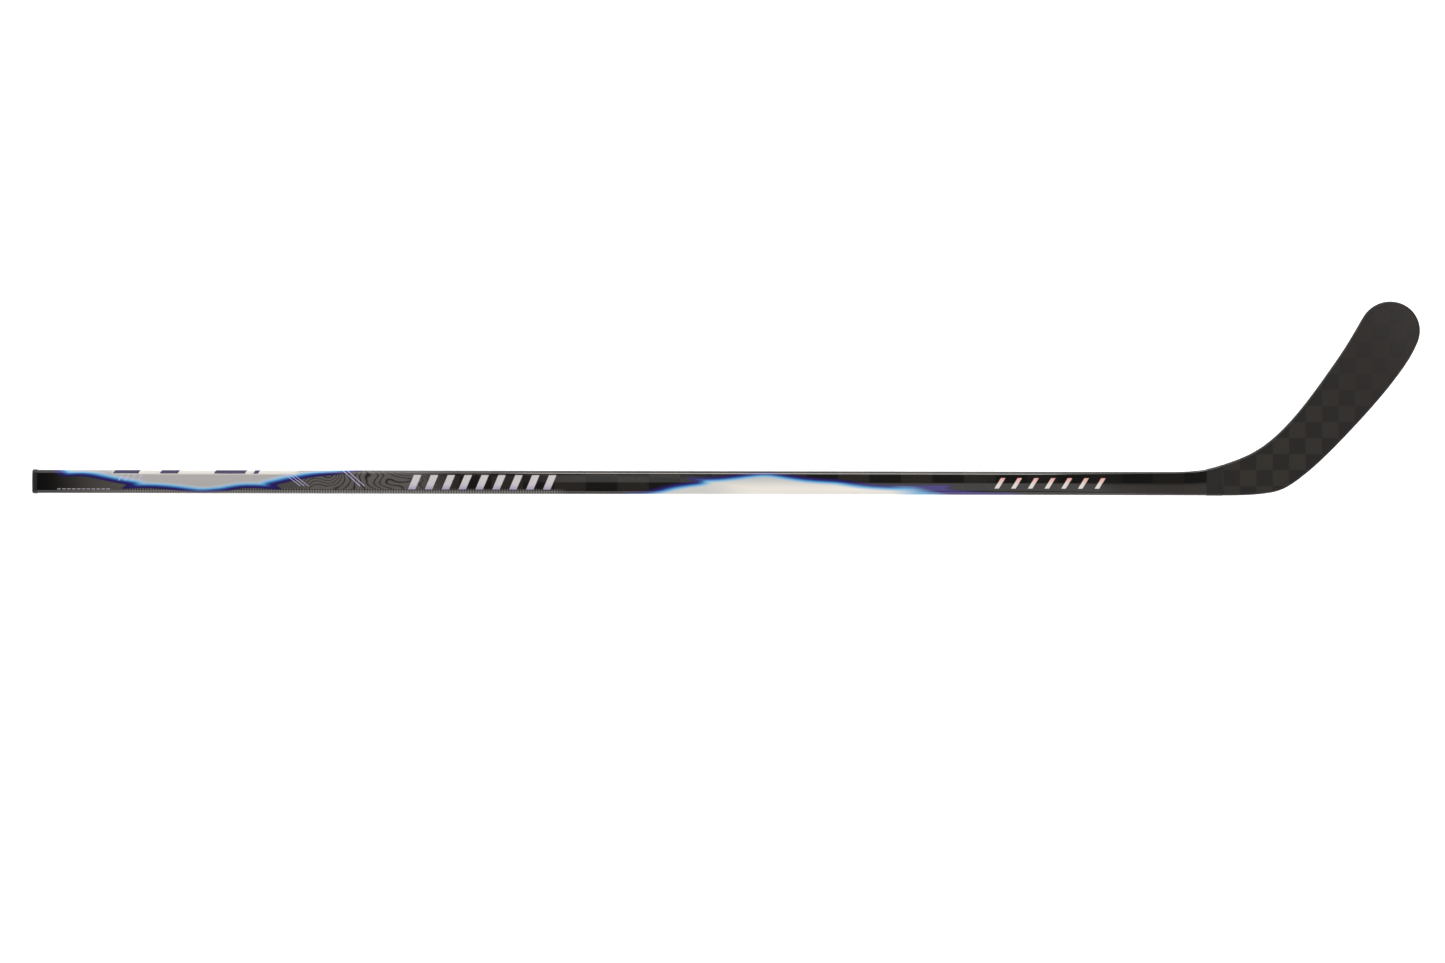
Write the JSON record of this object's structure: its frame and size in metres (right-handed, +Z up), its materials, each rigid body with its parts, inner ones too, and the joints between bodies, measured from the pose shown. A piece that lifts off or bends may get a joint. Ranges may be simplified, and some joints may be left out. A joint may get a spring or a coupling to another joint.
{
  "type": "ice hockey stick",
  "caption": "Senior one-piece composite ice hockey stick with a hollow ridged shaft, a tapered hosel, a curved left-hand blade and a pull-out butt cap.",
  "frame": {"origin": "the middle of the flat back of the shaft's straight part, on the face that the stick lies on", "axes": "+X down the shaft from the butt to the blade, +Y from the sole side of the shaft to its upper side (the side the blade rises to), +Z up from the resting face, towards the blade's forehand face"},
  "size_m": [1.6915, 0.2374, 0.0473],
  "materials": {
    "cap_plastic": "satin moulded plastic",
    "structural_carbon": "cured carbon plies, raw",
    "shaft_finish": "clear-coated checked carbon with printed violet, blue and white panels",
    "band_carbon": "clear-coated carbon, smooth",
    "blade_carbon": "satin checked carbon",
    "rail_carbon": "satin carbon edge",
    "core_foam": "rigid closed-cell foam",
    "heel_resin": "filled resin"
  },
  "bodies": {
    "stick": {"shaft_laminate": "structural_carbon", "shaft_outer_wrap": "shaft_finish", "hosel_laminate": "structural_carbon", "hosel_outer_wrap": "shaft_finish", "hosel_band": "band_carbon", "blade_tang": "structural_carbon", "tang_core": "core_foam", "blade_front_skin": "blade_carbon", "blade_back_skin": "blade_carbon", "blade_edge_rail": "rail_carbon", "heel_insert": "heel_resin", "blade_rib": "structural_carbon", "blade_core_lower": "core_foam", "blade_core_upper": "core_foam"},
    "cap": {"butt_cap": "cap_plastic"}
  },
  "joints": [
    {"name": "cap_pull", "type": "slide", "parent": "stick", "child": "cap", "axis": [-1, 0, 0], "range_m": [0, 0.06]}
  ]
}
